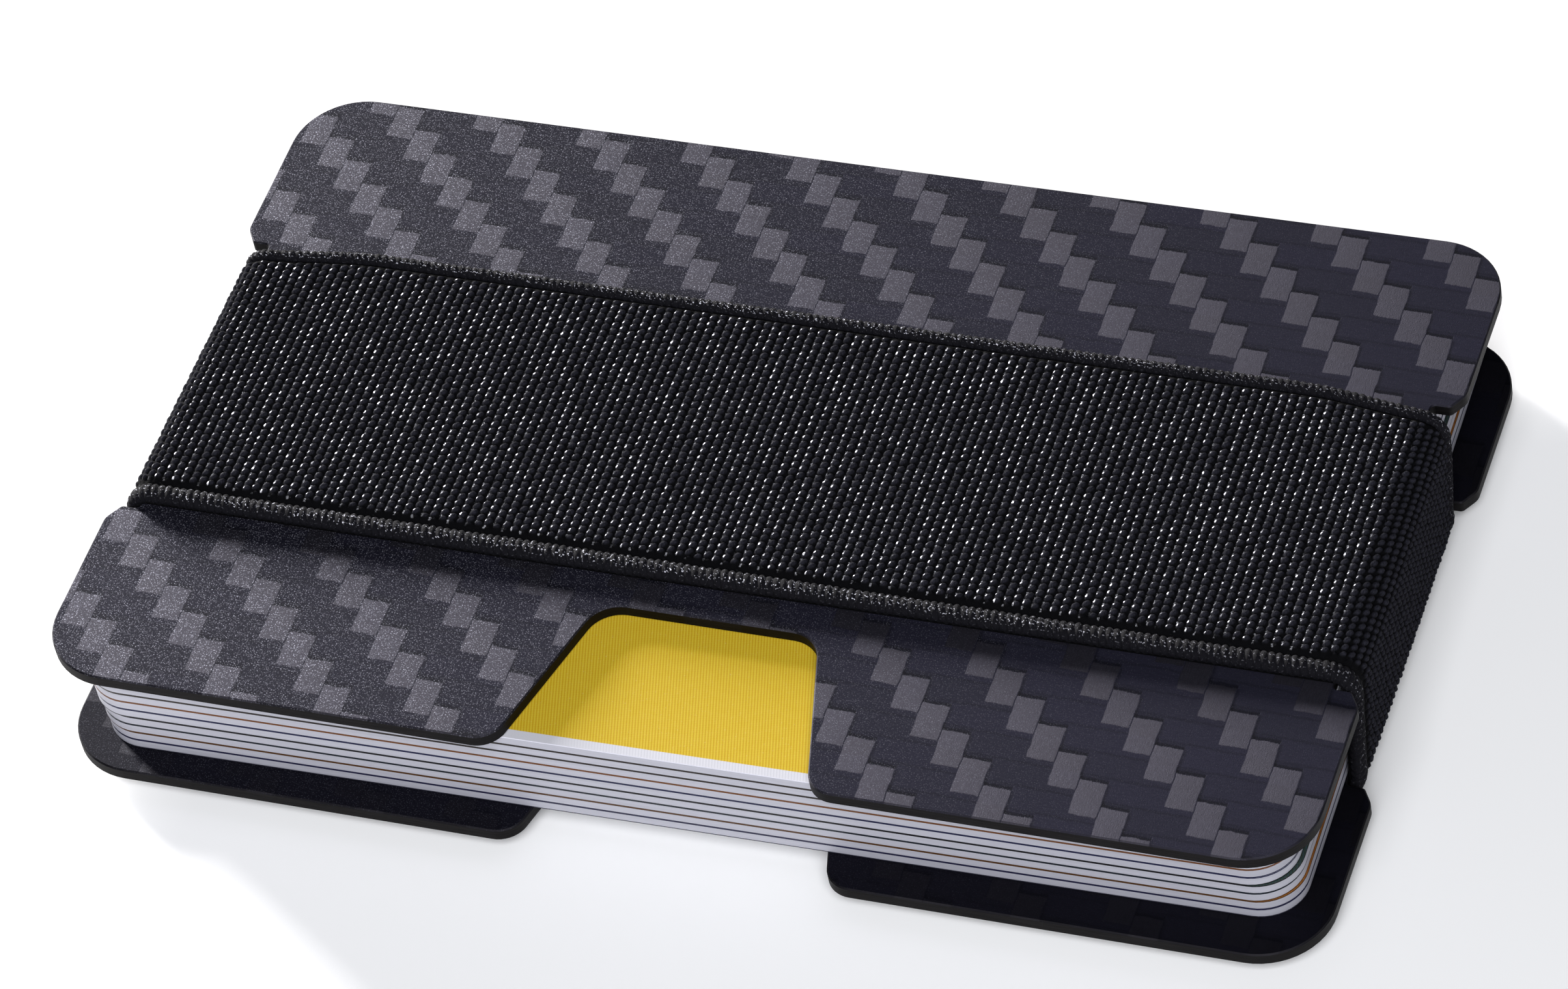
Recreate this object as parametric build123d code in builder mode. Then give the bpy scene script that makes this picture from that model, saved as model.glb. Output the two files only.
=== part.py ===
"""Minimalist card wallet: two flat plates, a pack of nine cards and one elastic band.

Frame: +X along the long edges, -Y towards the thumb notches, +Z up. The wallet lies on the
underside of its band. Millimetres throughout.
"""

from build123d import *
import math
import os

# Plates
plate_length = 90.0
plate_width = 56.0
plate_thickness = 1.0
plate_corner_radius = 5.0
plate_edge_break = 0.1
plate_stagger_x = 0.25  # each plate sits this far from centre, one each way
plate_stagger_y = 0.65
cut_overrun = 2.0  # how far a cutting shape runs out past the edge that it cuts

# Recess in both short ends, which keeps the band from walking off
recess_depth = 2.1
recess_half_floor = 12.85
recess_half_mouth = 14.1
recess_mouth_inset = 0.8
recess_mouth_radius = 1.2
recess_floor_radius = 0.35

# Thumb notch in the front edge
notch_half_mouth = 11.2
notch_half_floor = 7.8
notch_depth = 13.0
notch_mouth_radius = 2.0
notch_floor_radius = 2.4

# Cards, ID-1 format
card_count = 9
card_length = 85.6
card_width = 53.98
card_thickness = 0.78
card_corner_radius = 3.18
print_film = 0.085  # printed film on each face, over the white core
card_gap = 0.02
pack_centre_x = 0.4
pack_front_y = -26.0  # middle of the front edges
pack_skew = 0.7  # degrees, the pack sits slightly turned between the plates
card_nudge_x = (0.0, 0.0, -0.12, -0.08, -0.34, -0.36, -0.33, -0.38, -0.34)  # bottom card first

# Elastic band
band_width = 25.4
band_pinched_width = 24.3  # where the recesses hold it
band_thickness = 1.15
band_half_length = 44.5
band_centre_x = -0.1
band_bend_radius = 2.3  # outside of each bend
band_inner_radius = 0.15
band_taper_start = 40.0
band_gap = 0.02

# Sewn joint of the band, on its underside
seam_groove_length = 7.0
seam_groove_depth = 0.25
stitch_length = 2.6
stitch_thickness = 0.45
stitch_rows = 2
stitch_row_spacing = 3.2
stitches_per_row = 18
stitch_pitch = 1.3
stitch_clearance = 0.04  # between the thread and the surface the wallet lies on

# Heights, bottom to top
bottom_plate_z = band_thickness + band_gap
first_card_z = bottom_plate_z + plate_thickness + card_gap
card_pitch = card_thickness + card_gap
top_plate_z = first_card_z + card_count * card_pitch
band_top_z = top_plate_z + plate_thickness + band_gap + band_thickness

os.makedirs("parts", exist_ok=True)


def save(part, name):
    """Label a finished piece and write it to its own file."""
    part.label = name
    export_step(part, f"parts/{name}.step")


def make_plate(name, centre_x, centre_y, underside_z):
    """A flat plate with round corners, two end recesses and one thumb notch."""
    half_length = plate_length / 2
    half_width = plate_width / 2
    plate_plane = Plane(origin=(centre_x, centre_y, underside_z))

    with BuildPart() as plate:
        with BuildSketch(plate_plane):
            RectangleRounded(plate_length, plate_width, plate_corner_radius)
        extrude(amount=plate_thickness)

        # End recesses: a straight floor, short side walls and a flared mouth.
        for side in (-1, 1):
            with BuildSketch(plate_plane):
                with BuildLine():
                    Polyline(
                        (side * (half_length + cut_overrun), recess_half_mouth),
                        (side * half_length, recess_half_mouth),
                        (side * (half_length - recess_mouth_inset), recess_half_floor),
                        (side * (half_length - recess_depth), recess_half_floor),
                        (side * (half_length - recess_depth), -recess_half_floor),
                        (side * (half_length - recess_mouth_inset), -recess_half_floor),
                        (side * half_length, -recess_half_mouth),
                        (side * (half_length + cut_overrun), -recess_half_mouth),
                        close=True,
                    )
                make_face()
            extrude(amount=plate_thickness, mode=Mode.SUBTRACT)

        # Thumb notch: a trapezoid, wide at the edge and narrower inside.
        with BuildSketch(plate_plane):
            with BuildLine():
                Polyline(
                    (-notch_half_mouth, -half_width - cut_overrun),
                    (-notch_half_mouth, -half_width),
                    (-notch_half_floor, -half_width + notch_depth),
                    (notch_half_floor, -half_width + notch_depth),
                    (notch_half_mouth, -half_width),
                    (notch_half_mouth, -half_width - cut_overrun),
                    close=True,
                )
            make_face()
        extrude(amount=plate_thickness, mode=Mode.SUBTRACT)

        # Round the corners of the recesses and of the notch.
        def upright_edges_at(points):
            """The vertical edges that stand on the given points of the plate's own plane."""
            spot_tolerance = 0.01
            wanted = [(centre_x + x, centre_y + y) for x, y in points]

            def is_wanted(edge):
                middle = (edge.center().X, edge.center().Y)
                return any(math.dist(middle, spot) < spot_tolerance for spot in wanted)

            return plate.edges().filter_by(Axis.Z).filter_by(is_wanted)

        signs = [(sx, sy) for sx in (-1, 1) for sy in (-1, 1)]
        fillet(
            upright_edges_at([(sx * half_length, sy * recess_half_mouth) for sx, sy in signs]),
            recess_mouth_radius,
        )
        fillet(
            upright_edges_at(
                [(sx * (half_length - recess_mouth_inset), sy * recess_half_floor) for sx, sy in signs]
                + [(sx * (half_length - recess_depth), sy * recess_half_floor) for sx, sy in signs]
            ),
            recess_floor_radius,
        )
        fillet(
            upright_edges_at([(sx * notch_half_mouth, -half_width) for sx in (-1, 1)]),
            notch_mouth_radius,
        )
        fillet(
            upright_edges_at([(sx * notch_half_floor, -half_width + notch_depth) for sx in (-1, 1)]),
            notch_floor_radius,
        )

        # Break the sharp edges of both faces.
        faces = plate.faces().filter_by(Axis.Z).sort_by(Axis.Z)
        chamfer(faces[0].edges() + faces[-1].edges(), plate_edge_break)

    save(plate.part, name)


def make_card(number, nudge_x):
    """One card: a white core, and its two printed films as one node."""
    underside_z = first_card_z + (number - 1) * card_pitch
    turn = math.radians(pack_skew)
    along = (math.cos(turn), math.sin(turn), 0)
    half_width = card_width / 2

    def card_plane(height):
        """The card's own plane, turned with the pack, at a height above its underside."""
        return Plane(
            origin=(
                pack_centre_x + nudge_x - half_width * math.sin(turn),
                pack_front_y + half_width * math.cos(turn),
                underside_z + height,
            ),
            x_dir=along,
            z_dir=(0, 0, 1),
        )

    with BuildPart() as core:
        with BuildSketch(card_plane(print_film)):
            RectangleRounded(card_length, card_width, card_corner_radius)
        extrude(amount=card_thickness - 2 * print_film)
    save(core.part, f"card_{number}_core")

    with BuildPart() as films:
        for height in (0, card_thickness - print_film):
            with BuildSketch(card_plane(height)):
                RectangleRounded(card_length, card_width, card_corner_radius)
            extrude(amount=print_film)
    save(films.part, f"card_{number}_print_films")


make_plate("bottom_plate", plate_stagger_x, -plate_stagger_y, bottom_plate_z)
make_plate("top_plate", -plate_stagger_x, plate_stagger_y, top_plate_z)

for card_index, card_nudge in enumerate(card_nudge_x):
    make_card(card_index + 1, card_nudge)

# The band is one loop of elastic, pinched narrower at both ends, with a shallow groove for its seam.
with BuildPart() as elastic_band:
    band_middle_z = band_top_z / 2
    with BuildSketch(Plane.XZ):
        with Locations((band_centre_x, band_middle_z)):
            RectangleRounded(2 * band_half_length, band_top_z, band_bend_radius)
            RectangleRounded(
                2 * (band_half_length - band_thickness),
                band_top_z - 2 * band_thickness,
                band_inner_radius,
                mode=Mode.SUBTRACT,
            )
    extrude(amount=band_width / 2, both=True)

    with BuildSketch(Plane.XY):
        with BuildLine():
            half_full = band_width / 2
            half_pinched = band_pinched_width / 2
            taper_end = band_half_length - band_bend_radius
            band_end = band_half_length + cut_overrun
            Polyline(
                (-band_taper_start, half_full),
                (band_taper_start, half_full),
                (taper_end, half_pinched),
                (band_end, half_pinched),
                (band_end, -half_pinched),
                (taper_end, -half_pinched),
                (band_taper_start, -half_full),
                (-band_taper_start, -half_full),
                (-taper_end, -half_pinched),
                (-band_end, -half_pinched),
                (-band_end, half_pinched),
                (-taper_end, half_pinched),
                close=True,
            )
        make_face()
    extrude(amount=band_top_z, mode=Mode.INTERSECT)

    with BuildSketch(Plane.XY):
        Rectangle(seam_groove_length, band_width)
    extrude(amount=seam_groove_depth, mode=Mode.SUBTRACT)
save(elastic_band.part, "elastic_band")

# Thread of the sewn joint: short stitches across the two ends of the elastic.
with BuildPart() as seam_stitches:
    with BuildSketch(Plane.XY.offset(stitch_clearance)):
        with GridLocations(stitch_row_spacing, stitch_pitch, stitch_rows, stitches_per_row):
            SlotOverall(stitch_length, stitch_thickness)
    extrude(amount=seam_groove_depth - stitch_clearance)
save(seam_stitches.part, "seam_stitches")
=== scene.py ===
import math

import bpy
import numpy as np
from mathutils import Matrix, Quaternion, Vector


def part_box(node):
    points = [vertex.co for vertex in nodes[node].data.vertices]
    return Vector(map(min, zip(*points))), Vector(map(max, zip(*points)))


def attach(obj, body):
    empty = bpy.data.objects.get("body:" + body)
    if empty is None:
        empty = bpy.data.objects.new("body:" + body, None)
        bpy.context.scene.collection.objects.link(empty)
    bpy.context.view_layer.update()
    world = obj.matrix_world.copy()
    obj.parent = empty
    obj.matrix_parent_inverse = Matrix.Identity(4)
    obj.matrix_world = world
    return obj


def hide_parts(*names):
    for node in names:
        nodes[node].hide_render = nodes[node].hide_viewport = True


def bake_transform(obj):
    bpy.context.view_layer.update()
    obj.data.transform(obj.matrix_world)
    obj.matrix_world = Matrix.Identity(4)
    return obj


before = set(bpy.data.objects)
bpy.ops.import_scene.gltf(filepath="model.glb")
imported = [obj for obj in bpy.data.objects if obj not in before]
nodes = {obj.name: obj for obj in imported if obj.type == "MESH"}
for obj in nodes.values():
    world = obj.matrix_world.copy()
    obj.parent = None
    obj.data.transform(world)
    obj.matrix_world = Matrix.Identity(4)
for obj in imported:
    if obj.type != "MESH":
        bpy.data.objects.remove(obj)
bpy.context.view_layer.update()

MM = 0.001

# The looks of a card wallet: twill carbon plates, nine cards and one loop of ribbed elastic.

# ---------------------------------------------------------------------------------------------
# Sizes, in millimetres unless the comment says otherwise
# ---------------------------------------------------------------------------------------------

# Carbon fibre weave: a 1/3 twill, warp tows along Y and weft tows along X
WARP_PITCH = 2.03
WEFT_PITCH = 1.954
WEAVE_DRIFT = 0.035  # the weft runs slightly off the plate's long edge, a slope
WEAVE_ORIGIN = (-40.63, -19.43)
TWILL_REPEAT = 4  # in tows
WARP_FLOAT = 1.48  # how much of a warp tow shows, in weft pitches
LAMP_SIDE_RANGE_X = (40.0, -42.0)  # painted glints and painted shade both grow from the first to the second, towards the key lamp
BOTTOM_PLATE_LIT_SHARE = 0.18  # painted shade: the bottom plate's weave and grain show at this share of the top plate's

# Elastic band
BAND_WIDTH = 25.4
BAND_THICKNESS = 1.15
BAND_BEND_RADIUS = 2.3  # outside of each bend
BAND_SHIFT_Y = 0.62  # the top run sits in the top plate's recesses and the bottom run in the bottom's
BAND_END_WIDTH = 24.4  # pinched by the recesses
PINCH_START_X = 34.0
PINCH_RUN = 9.5
RIB_PITCH_WANTED = 0.667  # rounded to a whole number of ribs round the loop
RIB_RELIEF = 0.34  # from a bead's top down to the gaps
BEAD_PITCH = 0.62  # along a rib
GLINT_END_X = 42.2  # no painted glints past the +X bend, which faces away from the key lamp
LEFT_BEND_X = (-44.3, -42.9)  # where the band turns down at the -X end
SELVAGE_WIDTH = {-1: 1.65, 1: 1.1}  # front and back rolled edge
SELVAGE_GROOVE = 0.42
SELVAGE_SEED = {-1: 12, 1: 11}

# Sewn joint of the band, in the middle of its underside
SEAM_HALF_LENGTH = 3.5
SEAM_DEPTH = 0.25
STITCH_ROWS_X = (-1.6, 1.6)
STITCHES_PER_ROW = 18
STITCH_PITCH = 1.3
STITCH_LENGTH = 2.6
STITCH_RADIUS = 0.19

# Cards
CARD_COUNT = 9
CARD_SIZE = (85.6, 53.98)
CARD_CORNER = 3.18
PACK_SKEW = math.radians(0.7)  # the pack sits slightly turned between the plates
PRINT_MARGIN = 0.72
SCREEN_PITCH = 0.2  # of the print's line screen
SCREEN_TURN = math.radians(15.0)
PAD_CENTRE = (-27.0, 3.0)
PAD_SIZE = (12.0, 9.6)
PAD_CORNER = 1.6
STRIPE_CENTRE_Y = 17.0
STRIPE_WIDTH = 11.0

# For each card from the bottom up: the ink that shows along its lower edge, its face, and the
# white margin around that face.
CARD_INKS = (
    ((0.04, 0.04, 0.06), (0.30, 0.30, 0.34), PRINT_MARGIN),
    ((0.015, 0.015, 0.045), (0.22, 0.09, 0.02), 0.0),
    ((0.07, 0.030, 0.009), (0.20, 0.20, 0.24), PRINT_MARGIN),
    ((0.008, 0.012, 0.018), (0.025, 0.050, 0.058), 0.0),
    ((0.002, 0.002, 0.004), (0.03, 0.03, 0.04), PRINT_MARGIN),
    ((0.003, 0.005, 0.040), (0.03, 0.04, 0.16), PRINT_MARGIN),
    ((0.12, 0.038, 0.005), (0.45, 0.24, 0.10), PRINT_MARGIN),
    ((0.012, 0.007, 0.005), (0.16, 0.10, 0.06), PRINT_MARGIN),
    ((0.012, 0.007, 0.005), (0.60, 0.450, 0.032), PRINT_MARGIN),
)
WHITE_EDGE = (0.62, 0.62, 0.70)  # over the top card there is no ink


# ---------------------------------------------------------------------------------------------
# Material graphs
# ---------------------------------------------------------------------------------------------


class Field:
    """A number that a material works out at every point, with the usual arithmetic."""

    def __init__(self, graph, socket):
        self.graph = graph
        self.socket = socket

    def __add__(self, other):
        return self.graph.math("ADD", self, other)

    def __radd__(self, other):
        return self.graph.math("ADD", other, self)

    def __sub__(self, other):
        return self.graph.math("SUBTRACT", self, other)

    def __rsub__(self, other):
        return self.graph.math("SUBTRACT", other, self)

    def __mul__(self, other):
        return self.graph.math("MULTIPLY", self, other)

    def __rmul__(self, other):
        return self.graph.math("MULTIPLY", other, self)

    def __truediv__(self, other):
        return self.graph.math("DIVIDE", self, other)

    def floor(self):
        return self.graph.math("FLOOR", self)

    def fract(self):
        return self.graph.math("FRACT", self)

    def absolute(self):
        return self.graph.math("ABSOLUTE", self)

    def sine(self):
        return self.graph.math("SINE", self)

    def root(self):
        return self.graph.math("SQRT", self)

    def power(self, exponent):
        return self.graph.math("POWER", self, exponent)

    def wrap(self, low, high):
        return self.graph.math("WRAP", self, high, low)

    def at_least(self, other):
        return self.graph.math("MAXIMUM", self, other)

    def at_most(self, other):
        return self.graph.math("MINIMUM", self, other)

    def step(self, low, high):
        """A smooth step, 0 up to low and 1 from high on. With low above high it falls instead."""
        node = self.graph.node("ShaderNodeMapRange", interpolation_type="SMOOTHSTEP")
        rising = low < high
        self.graph.feed(node.inputs["Value"], self)
        node.inputs["From Min"].default_value = low if rising else high
        node.inputs["From Max"].default_value = high if rising else low
        node.inputs["To Min"].default_value = 0.0 if rising else 1.0
        node.inputs["To Max"].default_value = 1.0 if rising else 0.0
        return Field(self.graph, node.outputs["Result"])


class Graph:
    """A material's node tree around one Principled BSDF."""

    def __init__(self, name, **fixed):
        self.material = bpy.data.materials.new(name)
        self.material.use_nodes = True
        self.tree = self.material.node_tree
        self.shader = self.tree.nodes["Principled BSDF"]
        for socket, value in fixed.items():
            self.shader.inputs[socket.replace("_", " ")].default_value = value

    def node(self, kind, **settings):
        """A new node with these settings."""
        made = self.tree.nodes.new(kind)
        for key, value in settings.items():
            setattr(made, key, value)
        return made

    def feed(self, socket, value):
        """Link a field to a socket, or set the socket to a number or a colour."""
        if isinstance(value, Field):
            self.tree.links.new(value.socket, socket)
        elif isinstance(value, (tuple, list)) and len(value) == 3 and socket.type == "RGBA":
            socket.default_value = (*value, 1.0)
        else:
            socket.default_value = value

    def math(self, operation, *values):
        """One arithmetic step."""
        node = self.node("ShaderNodeMath", operation=operation)
        for socket, value in zip(node.inputs, values):
            self.feed(socket, value)
        return Field(self, node.outputs["Value"])

    def attribute(self, name):
        """The three numbers of a mesh attribute."""
        node = self.node("ShaderNodeAttribute", attribute_name=name)
        return self.split(Field(self, node.outputs["Vector"]))

    def split(self, vector):
        """The three parts of a vector."""
        node = self.node("ShaderNodeSeparateXYZ")
        self.feed(node.inputs["Vector"], vector)
        return [Field(self, output) for output in node.outputs]

    def join(self, x, y, z=0.0):
        """A vector from three numbers."""
        node = self.node("ShaderNodeCombineXYZ")
        for socket, value in zip(node.inputs, (x, y, z)):
            self.feed(socket, value)
        return Field(self, node.outputs["Vector"])

    def place(self):
        """The point in the object's own coordinates, in millimetres."""
        node = self.node("ShaderNodeTexCoord")
        return [axis * (1 / MM) for axis in self.split(Field(self, node.outputs["Object"]))]

    def facing(self):
        """The surface's direction in the object's own coordinates."""
        node = self.node("ShaderNodeTexCoord")
        return self.split(Field(self, node.outputs["Normal"]))

    def noise(self, vector, scale=1.0, detail=2.0, roughness=0.5):
        """Cloudy noise around a half."""
        node = self.node("ShaderNodeTexNoise")
        self.feed(node.inputs["Vector"], vector)
        node.inputs["Scale"].default_value = scale
        node.inputs["Detail"].default_value = detail
        node.inputs["Roughness"].default_value = roughness
        return Field(self, node.outputs["Fac"])

    def scatter(self, vector, scale):
        """Distance to the nearest of many scattered spots, and a random number for that spot."""
        node = self.node("ShaderNodeTexVoronoi", voronoi_dimensions="2D")
        self.feed(node.inputs["Vector"], vector)
        node.inputs["Scale"].default_value = scale
        return Field(self, node.outputs["Distance"]), self.split(Field(self, node.outputs["Color"]))[0]

    def random(self, *cell):
        """A random number for each whole-numbered cell."""
        node = self.node("ShaderNodeTexWhiteNoise", noise_dimensions="3D")
        self.feed(node.inputs["Vector"], self.join(*cell))
        return Field(self, node.outputs["Value"])

    def mix(self, factor, first, second):
        """A colour between two others."""
        node = self.node("ShaderNodeMix", data_type="RGBA")
        self.feed(node.inputs[0], factor)
        self.feed(node.inputs[6], first)
        self.feed(node.inputs[7], second)
        return Field(self, node.outputs[2])

    def colour(self, value):
        self.feed(self.shader.inputs["Base Color"], value)

    def roughness(self, value):
        self.feed(self.shader.inputs["Roughness"], value)

    def bump(self, height, depth):
        """Relief from a height of 0 to 1, depth millimetres deep."""
        node = self.node("ShaderNodeBump")
        node.inputs["Strength"].default_value = 1.0
        node.inputs["Distance"].default_value = depth * MM
        self.feed(node.inputs["Height"], height)
        self.feed(self.shader.inputs["Normal"], Field(self, node.outputs["Normal"]))


def rounded_inset(x, y, size, corner):
    """How far a point is inside a rounded rectangle centred on zero."""
    over_x = (x.absolute() - (size[0] / 2 - corner)).at_least(0.0)
    over_y = (y.absolute() - (size[1] / 2 - corner)).at_least(0.0)
    return corner - (over_x * over_x + over_y * over_y).root()


# ---------------------------------------------------------------------------------------------
# Materials
# ---------------------------------------------------------------------------------------------


def twill_weave(graph, x, y):
    """Reflectance and height of the cloth, and a mask of where a warp tow is on top."""
    wobble = graph.noise(graph.join(x, y), scale=0.9, detail=1.0) - 0.5
    fray = graph.noise(graph.join(x * 7.0, y * 2.0), detail=2.0, roughness=0.7) - 0.5
    across = (x - WEAVE_ORIGIN[0]) / WARP_PITCH + wobble * 0.10
    along = (y + WEAVE_DRIFT * x - WEAVE_ORIGIN[1]) / WEFT_PITCH + wobble * 0.10 + fray * 0.10
    column = across.floor()
    row = along.floor()
    in_column = across - column
    in_row = along - row

    # A warp tow comes over the weft once in each repeat, one step further on in each column.
    half_float = WARP_FLOAT / 2
    from_float = (column + along).wrap(-TWILL_REPEAT / 2, TWILL_REPEAT / 2)
    on_top = from_float.absolute().step(half_float + 0.03, half_float - 0.03)
    warp_side = (in_column - 0.5).absolute()
    warp = on_top * warp_side.step(0.5, 0.45)

    # Fibre streaks run along each tow, and no two tows have quite the same tone.
    warp_streak = graph.noise(graph.join(x * 11.0, y * 1.6), detail=3.0, roughness=0.75)
    weft_streak = graph.noise(graph.join(x * 1.2, y * 10.0), detail=3.0, roughness=0.75)
    warp_tone = graph.random(column, ((column + along) / TWILL_REPEAT).floor(), 3.0)
    weft_tone = graph.random(row, ((x / WARP_PITCH + row) / TWILL_REPEAT).floor(), 7.0)

    # The weft is dark along the seams between its own tows, and painted shade darkens it where a warp
    # tow dives under it and beside the next warp tow.
    weft_seam = (in_row - 0.5).absolute().step(0.40, 0.5)
    dive = from_float.step(half_float - 0.02, half_float + 0.03)
    dive = dive * from_float.step(half_float + 0.24, half_float + 0.08)
    from_last_float = (column - 1.0 + along).wrap(-TWILL_REPEAT / 2, TWILL_REPEAT / 2).absolute()
    beside = in_column.step(0.16, 0.0) * from_last_float.step(0.85, 0.6)
    seams_and_dip_shade = (weft_seam * 0.35 + dive * 0.85 + beside * 0.6).at_most(1.0) * (1.0 - warp)

    weft_colour = graph.mix(weft_streak, (0.019, 0.019, 0.034), (0.044, 0.042, 0.072))
    weft_colour = graph.mix(weft_tone * 0.4, weft_colour, (0.028, 0.028, 0.040))
    weft_colour = graph.mix(seams_and_dip_shade, weft_colour, (0.012, 0.012, 0.018))
    warp_colour = graph.mix(warp_streak, (0.032, 0.031, 0.043), (0.102, 0.097, 0.130))
    warp_colour = graph.mix(warp_tone * 0.35, warp_colour, (0.060, 0.056, 0.070))
    height = warp * (1.0 - (warp_side * 2.0).power(2.0)) * 0.5 + (1.0 - seams_and_dip_shade) * 0.5
    return graph.mix(warp, weft_colour, warp_colour), height, warp


def carbon_material(name, lit_share):
    """Twill carbon fibre under a thin, finely speckled matte coat, with machined edges.

    Carbon fibre has hardly any colour of its own: its tows are seen by what they reflect, so the
    base colour here is a reflectance and the anisotropy turns with the tows. The second argument,
    up to 1, is how much of the weave and of the coat's grain shows; below 1 the plate is painted
    in shade, darker and duller all over.
    """
    graph = Graph(name, Metallic=1.0, Anisotropic=0.35)
    x, y, z = graph.place()
    cloth, tow_height, warp = twill_weave(graph, x, y)
    # Painted shade: below a full share, the cloth sinks towards near black.
    cloth = graph.mix(1.0 - lit_share, cloth, (0.004, 0.004, 0.006))

    # Bright metallic grains in the coat, with painted glints: more of them towards the -X end, nearer the
    # key lamp, where painted shade also dulls the cloth.
    grain = graph.noise(graph.join(x, y), scale=11.0, detail=2.0, roughness=0.8)
    lamp_side = x.step(*LAMP_SIDE_RANGE_X)
    small, small_tint = graph.scatter(graph.join(x, y), scale=8.5)
    big, big_tint = graph.scatter(graph.join(x + 31.0, y), scale=5.0)
    fleck_and_glint = small.step(0.40, 0.10) * small_tint.power(3.0) + big.step(0.28, 0.08) * big_tint.power(2.5)
    fleck_and_glint = (fleck_and_glint + grain.step(0.54, 0.78) * 0.15) * ((lamp_side * 0.36 + 0.02) * lit_share)
    # Painted shade, stronger towards the -X end and lighter on the warp.
    cloth = graph.mix(lamp_side * (0.62 - warp * 0.16), cloth, (0.009, 0.009, 0.016))
    face = graph.mix(fleck_and_glint.at_most(1.0), cloth, (0.84, 0.84, 1.0))

    # Machined edge: bare laminate, with its plies showing as faint layers.
    normal_z = graph.facing()[2].absolute()
    edge = normal_z.step(0.9, 0.55)
    plies = graph.noise(graph.join(x * 0.25, y * 0.25, z * 7.0), detail=3.0, roughness=0.65)
    edge_colour = graph.mix(plies, (0.006, 0.006, 0.006), (0.026, 0.024, 0.025))
    # Painted highlight: a paler line where the edge rounds over into the faces.
    rim_highlight = normal_z.step(0.55, 0.72) * edge
    edge_colour = graph.mix(rim_highlight * 0.35, edge_colour, (0.050, 0.048, 0.055))
    graph.colour(graph.mix(edge, face, edge_colour))

    graph.roughness((0.58 + grain * 0.10) * (1.0 - edge) + edge * 0.66)
    graph.bump(tow_height * 0.35 + grain * 0.5 * (1.0 - edge) + plies * 0.5 * edge, depth=0.03)

    # The highlight stretches along the tangent, across the fibres: along X on a warp tow.
    graph.feed(graph.shader.inputs["Tangent"], graph.join(warp, 1.0 - warp))
    return graph.material


def card_core_material():
    """The white laminated core, seen at the card's cut edge."""
    graph = Graph("card_core", Coat_Weight=0.15, Coat_Roughness=0.3)
    x, y, z = graph.place()
    layer = graph.noise(graph.join(x * 0.08, y * 0.08, z * 5.0), detail=2.0)
    drag = graph.noise(graph.join(x * 1.2, y * 1.2, z * 9.0), detail=3.0, roughness=0.7)
    white = graph.mix(layer, (0.33, 0.33, 0.38), (0.43, 0.43, 0.49))
    graph.colour(graph.mix(drag.step(0.62, 0.8) * 0.35, white, (0.38, 0.38, 0.44)))
    graph.roughness(0.38 + drag * 0.2)
    graph.bump(layer * 0.6 + drag * 0.4, depth=0.02)
    return graph.material


def printed_face(graph, px, py, printed, face_colour):
    """The card's face and its ink: a line screen with paler specks, inside a white margin."""
    screen = (px * math.cos(SCREEN_TURN) + py * math.sin(SCREEN_TURN)) / SCREEN_PITCH
    dots = (py * math.cos(SCREEN_TURN) - px * math.sin(SCREEN_TURN)) / SCREEN_PITCH
    lines = (screen * math.tau).sine() * 0.5 + 0.5
    beads = (dots * math.tau).sine() * 0.5 + 0.5
    mottle = graph.noise(graph.join(px, py), scale=1.5, detail=3.0, roughness=0.7)
    ink = (lines * 0.75 + beads * 0.10 + mottle * 0.25).at_most(1.0)
    dark_ink = tuple(c * f for c, f in zip(face_colour, (0.78, 0.60, 0.22)))
    pale_ink = tuple(0.6 * c + 0.35 for c in face_colour)
    specks = graph.noise(graph.join(px, py), scale=7.0, detail=2.0, roughness=0.8).step(0.60, 0.78)
    print_colour = graph.mix(specks * 0.35, graph.mix(ink, dark_ink, face_colour), pale_ink)
    return graph.mix(printed, (0.56, 0.56, 0.61), print_colour), ink, mottle


def contact_pad(graph, px, py, mottle):
    """A contact pad, brass leaves parted by dark grooves: its mask and its colour."""
    pad_x, pad_y = px - PAD_CENTRE[0], py - PAD_CENTRE[1]
    pad = rounded_inset(pad_x, pad_y, PAD_SIZE, PAD_CORNER).step(0.0, 0.05)
    leaf_edge = PAD_SIZE[0] / 6
    groove = (pad_x.absolute() - leaf_edge).absolute().step(0.16, 0.10)
    leaf = ((pad_y / PAD_SIZE[1] * 4.0).fract() - 0.5).absolute().step(0.45, 0.48)
    groove = groove.at_least(leaf * pad_x.absolute().step(leaf_edge, leaf_edge + 0.1))
    brass = graph.mix(mottle, (0.50, 0.36, 0.14), (0.62, 0.48, 0.22))
    return pad, graph.mix(groove, brass, (0.10, 0.07, 0.03))


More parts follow.
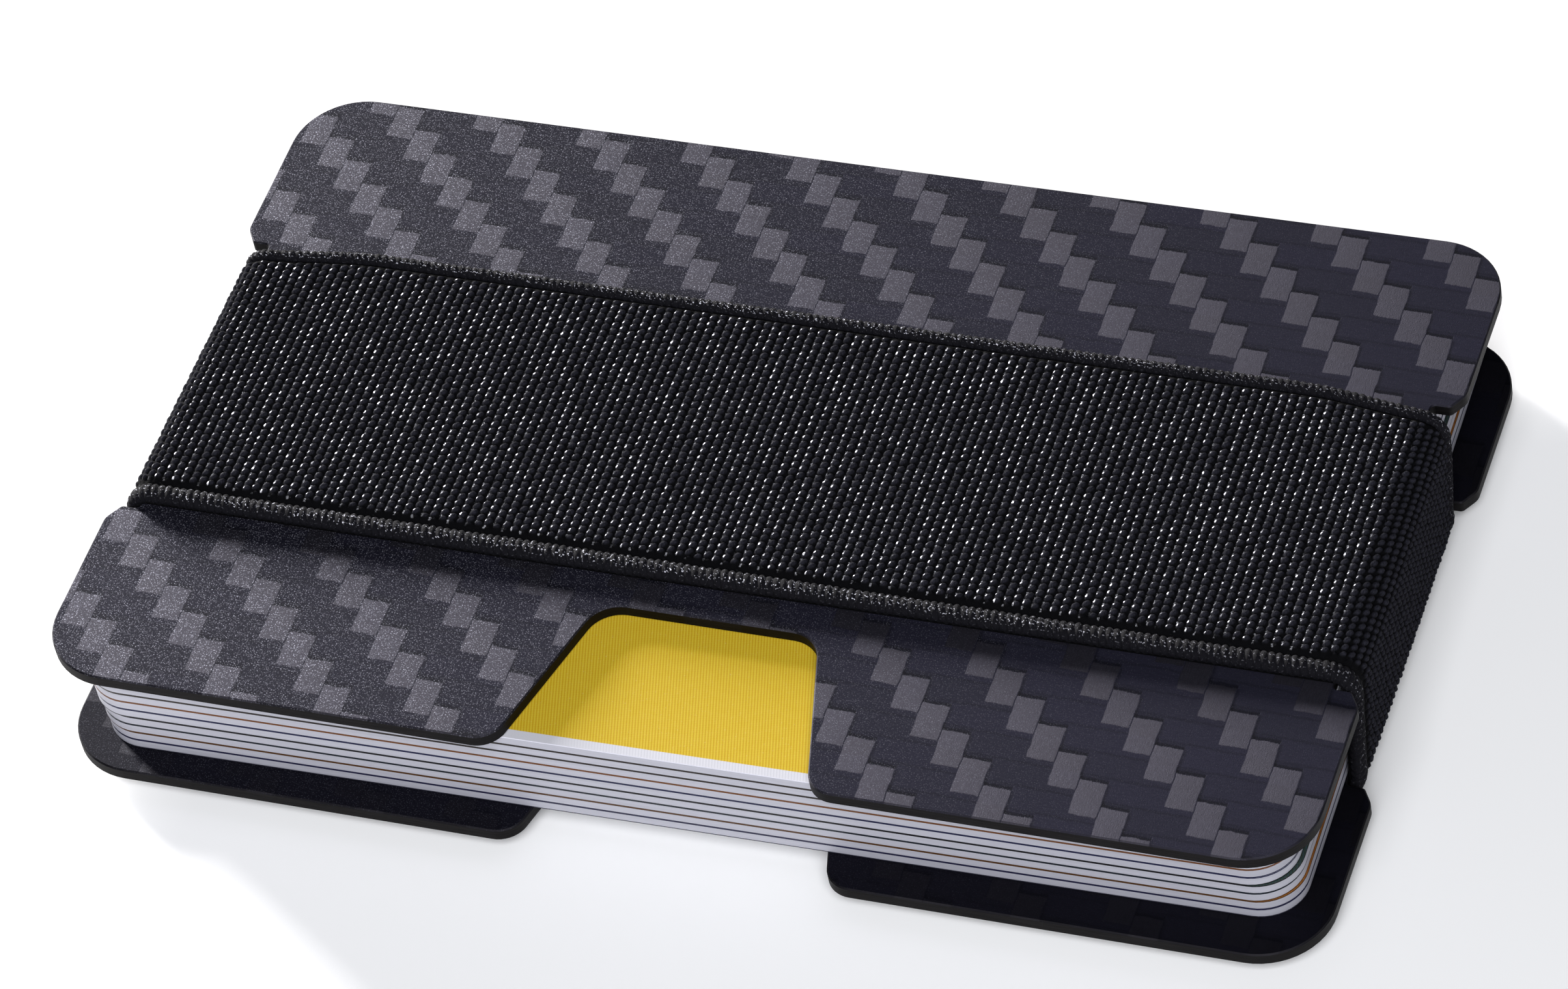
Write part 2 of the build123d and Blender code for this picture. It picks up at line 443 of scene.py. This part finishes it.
def card_film_material(number, line_colour, face_colour, margin, line_above):
    """Both printed films of one card: the upper carries the face, the lower a dark stripe.

    Seen from the side, the lower film is a line of this card's ink and the upper one takes the
    ink of the card that lies on it.
    """
    low, high = (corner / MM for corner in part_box(f"card_{number}_core"))
    centre = (low + high) / 2
    graph = Graph(f"card_{number}_print", Specular_IOR_Level=0.3, Coat_Weight=0.1, Coat_Roughness=0.3)
    x, y, z = graph.place()
    px = (x - centre.x) * math.cos(PACK_SKEW) + (y - centre.y) * math.sin(PACK_SKEW)
    py = (y - centre.y) * math.cos(PACK_SKEW) - (x - centre.x) * math.sin(PACK_SKEW)
    inset = rounded_inset(px, py, CARD_SIZE, CARD_CORNER)
    side = graph.facing()[2].absolute().step(0.7, 0.3).at_least(inset.step(0.03, 0.015))

    printed = inset.step(margin - 0.03, margin + 0.03)
    face, ink, mottle = printed_face(graph, px, py, printed, face_colour)
    face = graph.mix(side, face, line_above)
    pad, pad_colour = contact_pad(graph, px, py, mottle)
    face = graph.mix(pad * (1.0 - side), face, pad_colour)

    # The underside is plain, with a dark stripe along the back edge.
    half_stripe = STRIPE_WIDTH / 2
    stripe = (py - STRIPE_CENTRE_Y).absolute().step(half_stripe + 0.05, half_stripe - 0.05)
    plain = graph.mix(mottle, (0.40, 0.40, 0.44), (0.50, 0.50, 0.54))
    under = graph.mix(stripe, plain, (0.012, 0.010, 0.010))
    shade = graph.noise(graph.join(x * 3.0, y * 3.0), detail=2.0).step(0.3, 0.7)
    under_side = graph.mix(shade * 0.5, line_colour, tuple(c * 0.55 for c in line_colour))
    under = graph.mix(side, under, under_side)

    upper = z.step(centre.z - 0.01, centre.z + 0.01)
    graph.colour(graph.mix(upper, under, face))
    graph.roughness(0.34 + mottle * 0.12)
    graph.bump(ink, depth=0.004)
    return graph.material


def elastic_material(rib_pitch):
    """Black ribbed elastic: matte beads with painted shade between them and painted glints on each rib's
    shoulder.
    """
    graph = Graph("ribbed_elastic", Specular_IOR_Level=0.08)
    along, across, height = graph.attribute("cloth")
    x = graph.place()[0]
    column = (along / rib_pitch).floor()
    in_rib = (along / rib_pitch).fract()
    bead_place = across / BEAD_PITCH + column * 0.5
    bead = bead_place.floor()
    in_bead = bead_place.fract()

    # A painted glint, a glossy patch of bright colour, lies low on one shoulder of nearly every bead, and
    # now and then a fainter one beside it. No two are alike, and towards the -X end, nearer the key lamp,
    # they are wider.
    reach = 0.145 + x.step(30.0, -45.0) * 0.045
    glint = 0.0
    for middle, most, seed in ((0.45, 1.0, 2.0), (0.85, 0.6, 9.0)):
        sway = graph.random(column, bead, seed) * 0.12
        off_rib = (in_rib - 0.71 - sway - (in_bead - 0.5) * 0.12) / reach
        off_bead = (in_bead - middle - graph.random(column, bead, seed + 1.0) * 0.25) / 0.30
        glint_spot = (off_rib * off_rib + off_bead * off_bead).root().step(1.0, 0.5)
        glint = (glint_spot * graph.random(column, bead, seed + 2.0).step(0.05, 0.75) * most).at_least(glint)

    # The painted glints are ragged, and there are none in the grooves or past the +X bend, which faces
    # away from the key lamp, and few on the -X end.
    rag = graph.noise(graph.join(along * 11.0, across * 9.0), detail=1.0).step(0.34, 0.54)
    low, high = web_edges()
    web = across.step(low, low + 0.2) * across.step(high, high - 0.2)
    glint = glint * rag * web * x.step(GLINT_END_X + 0.4, GLINT_END_X - 0.4)
    glint = glint * (x.step(*LEFT_BEND_X) * 0.75 + 0.25)

    yarn = graph.noise(graph.join(along * 14.0, across * 5.0), detail=3.0, roughness=0.7)
    black = graph.mix(yarn.step(0.25, 0.8), (0.0045, 0.0045, 0.0066), (0.0240, 0.0240, 0.0350))
    # Painted shade: darker down in the gaps between the beads.
    black = graph.mix(height.step(0.85, 0.25), black, (0.0010, 0.0010, 0.0016))
    graph.colour(graph.mix(glint, black, (0.76, 0.76, 0.83)))
    graph.roughness(0.82 - glint * 0.42 + yarn * 0.1)
    graph.feed(graph.shader.inputs["Metallic"], glint * 0.9)
    graph.bump(yarn, depth=0.05)
    return graph.material


def thread_material(name, dark, light):
    """Black thread: fine fibres along each turn, with painted glints on its crown that fade towards the
    +X end.
    """
    graph = Graph(name, Specular_IOR_Level=0.1)
    along, around, crown = graph.attribute("cloth")
    fibre = graph.noise(graph.join(along * 16.0, around * 3.0), detail=3.0, roughness=0.75)
    cluster = graph.noise(graph.join(along, around), scale=0.9, detail=1.0).step(0.25, 0.58)
    # Painted glints: bright specks on the crown, where the lamps light the thread, fewer towards the +X
    # end.
    crown_glint = graph.noise(graph.join(along * 5.0, around * 6.0), detail=1.0, roughness=0.9).step(0.60, 0.70)
    lit_end = graph.place()[0].step(GLINT_END_X, 5.0) * 0.7 + 0.3
    crown_glint = crown_glint * (crown.step(0.60, 0.90) * (0.3 + 0.7 * cluster) * lit_end + 0.03)
    graph.colour(graph.mix(crown_glint, graph.mix(fibre, dark, light), (0.64, 0.64, 0.73)))
    graph.roughness(0.8 - crown_glint * 0.3)
    graph.bump(fibre, depth=0.06)
    return graph.material


def floor_material():
    """Pale matte ground with the faintest mottling."""
    graph = Graph("pale_floor")
    x, y, _ = graph.place()
    mottle = graph.noise(graph.join(x, y), scale=0.02, detail=2.0)
    graph.colour(graph.mix(mottle, (0.93, 0.93, 0.94), (0.95, 0.95, 0.955)))
    graph.roughness(0.75 + mottle * 0.05)
    return graph.material


# ---------------------------------------------------------------------------------------------
# Meshes
# ---------------------------------------------------------------------------------------------


def mesh_object(name, points, faces, cloth, material):
    """A smooth mesh from points in millimetres and four-cornered faces.

    Each point's three numbers in cloth tell its material where it lies: on the web its place
    along and across the band and its bead's height, and on a thread its place along and round
    the thread and how near its crown it is.
    """
    mesh = bpy.data.meshes.new(name)
    mesh.vertices.add(len(points))
    mesh.vertices.foreach_set("co", (points * MM).astype(np.float32).ravel())
    mesh.loops.add(faces.size)
    mesh.loops.foreach_set("vertex_index", faces.astype(np.int32).ravel())
    mesh.polygons.add(len(faces))
    mesh.polygons.foreach_set("loop_start", np.arange(0, faces.size, 4, dtype=np.int32))
    mesh.update(calc_edges=True)
    mesh.polygons.foreach_set("use_smooth", np.ones(len(faces), bool))
    attribute = mesh.attributes.new("cloth", "FLOAT_VECTOR", "POINT")
    attribute.data.foreach_set("vector", cloth.astype(np.float32).ravel())
    mesh.materials.append(material)
    made = bpy.data.objects.new(name, mesh)
    bpy.context.scene.collection.objects.link(made)
    return made


def wrapped_grid(rows, columns):
    """Faces of a grid that closes on itself both ways, row by row."""
    row, column = np.meshgrid(np.arange(rows), np.arange(columns), indexing="ij")
    next_row = (row + 1) % rows
    next_column = (column + 1) % columns
    corners = (row * columns + column, next_row * columns + column)
    far_corners = (next_row * columns + next_column, row * columns + next_column)
    return np.stack([*corners, *far_corners], axis=-1).reshape(-1, 4)


class BandLoop:
    """The outside of the band seen from the front: a rounded rectangle around the plates."""

    def __init__(self):
        low, high = (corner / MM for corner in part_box("elastic_band"))
        self.centre = ((low.x + high.x) / 2, (low.z + high.z) / 2)
        self.half = ((high.x - low.x) / 2, (high.z - low.z) / 2)
        self.radius = BAND_BEND_RADIUS
        self.run = 2 * (self.half[0] - self.radius)
        self.rise = 2 * (self.half[1] - self.radius)
        self.bend = self.radius * math.pi / 2
        self.length = 2 * (self.run + self.rise) + 4 * self.bend
        self.ribs = round(self.length / RIB_PITCH_WANTED)
        self.rib_pitch = self.length / self.ribs

    def at(self, travel):
        """Place, outward direction and room inside, at each travel along the loop.

        Travel starts at the middle of the underside and goes towards +X, up, back and down.
        """
        travel = np.mod(travel, self.length)
        half_x = self.half[0] - self.radius
        half_z = self.half[1] - self.radius
        end_wall = [self.bend, self.rise, self.bend]
        lengths = [half_x, *end_wall, self.run, *end_wall, half_x]
        starts = np.concatenate([[0], np.cumsum(lengths)])
        which = np.clip(np.searchsorted(starts, travel, side="right") - 1, 0, len(lengths) - 1)
        part = travel - starts[which]

        # Straights and bends take turns. A bend turns about the corner of the inner rectangle.
        corners = [(1, -1), (1, 1), (-1, 1), (-1, -1)]
        turn = np.zeros_like(travel)
        place = np.zeros((len(travel), 2))
        for step in range(len(lengths)):
            here = which == step
            quarter = step // 2
            angle = (quarter - 1) * math.pi / 2
            if step % 2 == 0:
                direction = np.array([math.cos(angle), math.sin(angle)])
                sideways = np.array([-direction[1], direction[0]])
                reach, half_run = (half_z, half_x) if quarter % 2 == 0 else (half_x, half_z)
                start = 0.0 if quarter == 0 else -half_run
                place[here] = direction * reach + sideways * (start + part[here])[:, None]
                turn[here] = angle
            else:
                sx, sz = corners[quarter]
                place[here] = (sx * half_x, sz * half_z)
                turn[here] = angle + part[here] / self.radius
        outward = np.stack([np.cos(turn), np.sin(turn)], axis=-1)
        place = place + np.array(self.centre) + outward * self.radius

        # The room inside is the band's thickness, and more in a bend, whose inner corner is square.
        inner = np.full(len(travel), BAND_THICKNESS)
        bent = which % 2 == 1
        square = (self.radius - BAND_THICKNESS) / np.maximum(np.abs(outward[:, 0]), np.abs(outward[:, 1]))
        inner[bent] = self.radius - square[bent]
        return place, outward, inner

    def y(self, place, across):
        """Where the band runs along Y, for places on the loop and distances across the band.

        Each run follows its own plate's recesses, and near both ends the back edge pulls in.
        """
        share = np.clip((place[:, 1] - self.centre[1]) / (self.half[1] - BAND_THICKNESS), -1, 1)
        middle = BAND_SHIFT_Y * np.sin(share * math.pi / 2)
        pinch = np.clip((np.abs(place[:, 0] - self.centre[0]) - PINCH_START_X) / PINCH_RUN, 0, 1)
        pinch = pinch * pinch * (3 - 2 * pinch) * (BAND_WIDTH - BAND_END_WIDTH)
        back = np.clip(across / (BAND_WIDTH / 2), 0, None)
        return middle[:, None] + across - pinch[:, None] * back


def bead_relief(loop, travel, across):
    """Height from 0 to 1 of the ribbed web: rows of round beads, staggered rib to rib."""
    half_length, half_width = 0.48, 0.52  # of a bead, in pitches
    slant = 0.22
    stray_along, stray_across = 0.05, 0.06  # how far beads lie off their places, in pitches
    mean_height, height_spread = 0.91, 0.09
    rng = np.random.default_rng(5)
    beads = int(BAND_WIDTH / BEAD_PITCH) + 4
    vary = rng.uniform(-1, 1, (loop.ribs, beads, 3))
    rib_place = travel[:, None] / loop.rib_pitch
    height = np.zeros((len(travel), len(across)))
    for rib_step in (-1, 0, 1):
        rib = np.floor(rib_place).astype(int) + rib_step
        rib_index = np.mod(rib, loop.ribs)
        bead_place = across[None, :] / BEAD_PITCH + rib_index * 0.5
        for bead_step in (-1, 0, 1):
            bead = np.floor(bead_place).astype(int) + bead_step
            odd = vary[rib_index, np.mod(bead, beads)]
            off_x = (rib_place - rib - 0.5 - stray_along * odd[..., 0]) / half_length
            off_y = bead_place - bead - 0.5 - stray_across * odd[..., 1] + slant * off_x
            off_y = off_y / half_width
            dome = np.sqrt(np.clip(1 - off_x**2 - off_y**2, 0, 1))
            height = np.maximum(height, dome * (mean_height + height_spread * odd[..., 2]))
    return height


def web_edges():
    """Where the woven web stops, at the groove beside each rolled edge."""
    return [side * (BAND_WIDTH / 2 - SELVAGE_WIDTH[side] - SELVAGE_GROOVE / 2) for side in (-1, 1)]


def band_web(loop, material):
    """The woven web between the two rolled edges, one closed loop with its inner face."""
    samples_per_rib = 6
    rows_per_bead = 5
    edge_margin = 0.3  # over which the beads fade into the groove, and the inner face stays back
    seam_blend = 0.3  # each side of the joint's edge
    stitched_relief = 0.12
    liner_points = 9
    liner_gap = 0.01  # keeps the inner face inside the room there is

    low, high = web_edges()
    travel = np.arange(loop.ribs * samples_per_rib) / samples_per_rib * loop.rib_pitch
    count = int(round((high - low) / BEAD_PITCH * rows_per_bead))
    across = np.linspace(low, high, count + 1)
    place, outward, inner = loop.at(travel)

    height = bead_relief(loop, travel, across)
    edge_fade = np.clip(np.minimum(across - low, high - across) / edge_margin, 0, 1)
    height = height * edge_fade[None, :]
    sunk = RIB_RELIEF * (1 - height)

    # Around the sewn joint, in the middle of the underside, the web is pressed flat.
    from_seam = np.minimum(travel, loop.length - travel)
    seam = np.clip((SEAM_HALF_LENGTH + seam_blend - from_seam) / (2 * seam_blend), 0, 1)[:, None]
    sunk = sunk * (1 - seam) + (SEAM_DEPTH + stitched_relief * (1 - height)) * seam

    def surface(depth, positions):
        """Points this deep under the band's outside, at these positions across it."""
        flat = place[:, None, :] - outward[:, None, :] * depth[..., None]
        y = loop.y(place, np.broadcast_to(positions, depth.shape))
        return np.stack([flat[..., 0], y, flat[..., 1]], axis=-1)

    liner_half = BAND_WIDTH / 2 - edge_margin
    liner_across = np.linspace(liner_half, -liner_half, liner_points)
    liner_depth = np.broadcast_to(inner[:, None] - liner_gap, (len(travel), liner_points))
    ring = np.concatenate([surface(sunk, across), surface(liner_depth, liner_across)], axis=1)
    cloth = np.zeros(ring.shape)
    cloth[..., 0] = travel[:, None]
    cloth[..., 1] = np.concatenate([across, liner_across])[None, :]
    cloth[:, : len(across), 2] = height
    faces = wrapped_grid(len(travel), ring.shape[1])[:, ::-1]
    return mesh_object("elastic_web", ring.reshape(-1, 3), faces, cloth.reshape(-1, 3), material)


def band_selvage(loop, side, name, material):
    """A rolled edge of the band: a cord bound in slanting turns of thread."""
    turns = int(1.25 * loop.ribs)  # five turns of thread to four ribs
    samples_per_turn = 7
    points_around = 16
    slant = 0.25  # of a turn, from one side of the cord to the other
    turn_depth = 0.28  # of the cord's radius, between two turns
    half_thick = BAND_THICKNESS / 2 - 0.015
    half_wide = SELVAGE_WIDTH[side] / 2

    turn_pitch = loop.length / turns
    travel = np.arange(turns * samples_per_turn) / samples_per_turn * turn_pitch
    place, outward, _ = loop.at(travel)
    around = np.linspace(0, math.tau, points_around, endpoint=False)
    phase = travel[:, None] / turn_pitch + around[None, :] * side * slant
    rng = np.random.default_rng(SELVAGE_SEED[side])
    turn_size = rng.uniform(0.75, 1.0, turns)
    index = np.mod(np.floor(phase).astype(int), turns)
    ridge = np.abs(np.sin(phase * math.pi)) ** 0.6 * turn_size[index]
    swell = 1 - turn_depth * (1 - ridge)

    up = np.sin(around)[None, :] * half_thick * swell
    out = np.cos(around)[None, :] * half_wide * swell
    depth = BAND_THICKNESS / 2 - up
    flat = place[:, None, :] - outward[:, None, :] * depth[..., None]
    y = loop.y(place, side * (BAND_WIDTH / 2 - half_wide + out))
    ring = np.stack([flat[..., 0], y, flat[..., 1]], axis=-1)
    cloth = np.zeros(ring.shape)
    cloth[..., 0] = phase * turn_pitch
    cloth[..., 1] = around[None, :] * half_thick
    cloth[..., 2] = np.sin(around)[None, :]
    faces = wrapped_grid(len(travel), points_around)
    if side > 0:
        faces = faces[:, ::-1]
    return mesh_object(name, ring.reshape(-1, 3), faces, cloth.reshape(-1, 3), material)


def seam_stitches(material):
    """The thread of the sewn joint: short twisted stitches that dip into the web at both ends."""
    rings, sides = 40, 12
    middle_height, end_rise = 0.16, 0.13  # above the ground, at a stitch's middle and its ends
    flatness = 0.5
    rng = np.random.default_rng(21)
    run = np.linspace(-1, 1, rings)[:, None]
    around = np.linspace(0, math.tau, sides, endpoint=False)[None, :]

    # Both ends are rounded off, and three plies twist along the thread.
    taper = np.sqrt(np.clip(1.02 - run**6, 0, 1))
    plies = 1 + 0.10 * np.abs(np.sin(1.5 * around + 9.0 * run))
    radius = STITCH_RADIUS * taper * plies
    height = middle_height + end_rise * run**4 + np.sin(around) * radius * flatness

    ring = np.arange(rings - 1)[:, None] * sides
    here = np.arange(sides)[None, :]
    after = (here + 1) % sides
    quads = np.stack([ring + here, ring + after, ring + after + sides, ring + here + sides], axis=-1)
    quads = quads.reshape(-1, 4)

    points, cloth, faces = [], [], []
    for row_x in STITCH_ROWS_X:
        x = np.broadcast_to(row_x + run * STITCH_LENGTH / 2, radius.shape)
        marks = np.stack([x, around * radius, np.broadcast_to(-np.sin(around), x.shape)], axis=-1)
        for index in range(STITCHES_PER_ROW):
            y = (index - (STITCHES_PER_ROW - 1) / 2) * STITCH_PITCH + rng.uniform(-0.04, 0.04)
            lean = rng.uniform(-0.06, 0.06)
            across = y + lean * run + np.cos(around) * radius
            faces.append(quads + len(points) * rings * sides)
            points.append(np.stack([x, across, height], axis=-1).reshape(-1, 3))
            cloth.append(marks.reshape(-1, 3))
    return mesh_object(
        "sewn_seam", np.concatenate(points), np.concatenate(faces), np.concatenate(cloth), material
    )


# ---------------------------------------------------------------------------------------------
# The wallet
# ---------------------------------------------------------------------------------------------


def dress(name, material):
    """Give a CAD node its one material."""
    nodes[name].data.materials.clear()
    nodes[name].data.materials.append(material)


def dress_plates():
    for name, lit_share in (("bottom_plate", BOTTOM_PLATE_LIT_SHARE), ("top_plate", 1.0)):
        dress(name, carbon_material(f"{name}_carbon_twill", lit_share))


def dress_cards():
    core = card_core_material()
    for number, (line_colour, face_colour, margin) in enumerate(CARD_INKS, start=1):
        line_above = CARD_INKS[number][0] if number < CARD_COUNT else WHITE_EDGE
        film = card_film_material(number, line_colour, face_colour, margin, line_above)
        dress(f"card_{number}_core", core)
        dress(f"card_{number}_print_films", film)


def make_band():
    loop = BandLoop()
    web = band_web(loop, elastic_material(loop.rib_pitch))
    thread = thread_material("selvage_thread", (0.0015, 0.0015, 0.0024), (0.0070, 0.0066, 0.0100))
    front = band_selvage(loop, -1, "elastic_selvage_front", thread)
    back = band_selvage(loop, 1, "elastic_selvage_back", thread)

    # The band's pieces are baked into world coordinates.
    for piece in (web, front, back):
        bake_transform(piece)

    seam_thread = thread_material("seam_thread", (0.030, 0.030, 0.036), (0.110, 0.106, 0.125))
    stitches = seam_stitches(seam_thread)
    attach(stitches, "base")
    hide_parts("seam_stitches")
    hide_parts("elastic_band")


# ---------------------------------------------------------------------------------------------
# Floor, light and camera
# ---------------------------------------------------------------------------------------------


LIT_POINT = Vector((0.0, 0.0, 0.005))


def make_floor():
    reach = 3000.0
    corners = reach * np.array([[-1, -1, 0], [1, -1, 0], [1, 1, 0], [-1, 1, 0]])
    floor = mesh_object("floor", corners, np.array([[0, 1, 2, 3]]), corners * 0.0, floor_material())


def area_light(name, position, size, power, colour):
    """A rectangular lamp aimed at the wallet, in metres and watts."""
    light = bpy.data.lights.new(name, "AREA")
    light.shape = "RECTANGLE"
    light.size, light.size_y = size
    light.energy = power
    light.color = colour
    lamp = bpy.data.objects.new(name, light)
    lamp.location = position
    lamp.rotation_mode = "QUATERNION"
    lamp.rotation_quaternion = (LIT_POINT - Vector(position)).to_track_quat("-Z", "Y")
    bpy.context.scene.collection.objects.link(lamp)


def make_lights():
    area_light("key_light", (-0.77, 0.53, 0.185), (0.17, 0.20), 27.0, (1.0, 0.98, 0.96))
    area_light("front_softbox", (0.18, -0.50, 0.55), (0.6, 0.6), 7.6, (0.97, 0.98, 1.0))
    world = bpy.data.worlds.new("studio")
    world.use_nodes = True
    background = world.node_tree.nodes["Background"]
    background.inputs["Color"].default_value = (0.93, 0.94, 1.0, 1.0)
    background.inputs["Strength"].default_value = 0.06
    bpy.context.scene.world = world


def make_camera():
    position = Vector((150.93, -294.30, 361.40)) * MM
    looks_at = Vector((-1.03, 1.87, 5.0)) * MM
    roll = math.radians(-12.227)
    camera = bpy.data.cameras.new("camera")
    camera.sensor_width = 36.0
    camera.lens = 161.73
    camera.clip_start = 0.01
    camera.clip_end = 20.0
    holder = bpy.data.objects.new("camera", camera)
    holder.location = position
    holder.rotation_mode = "QUATERNION"
    aim = (looks_at - position).to_track_quat("-Z", "Y")
    holder.rotation_quaternion = aim @ Quaternion((0, 0, 1), roll)
    bpy.context.scene.collection.objects.link(holder)
    bpy.context.scene.camera = holder
    bpy.context.scene.view_settings.view_transform = "Standard"


dress_plates()
dress_cards()
make_band()
make_floor()
make_lights()
make_camera()
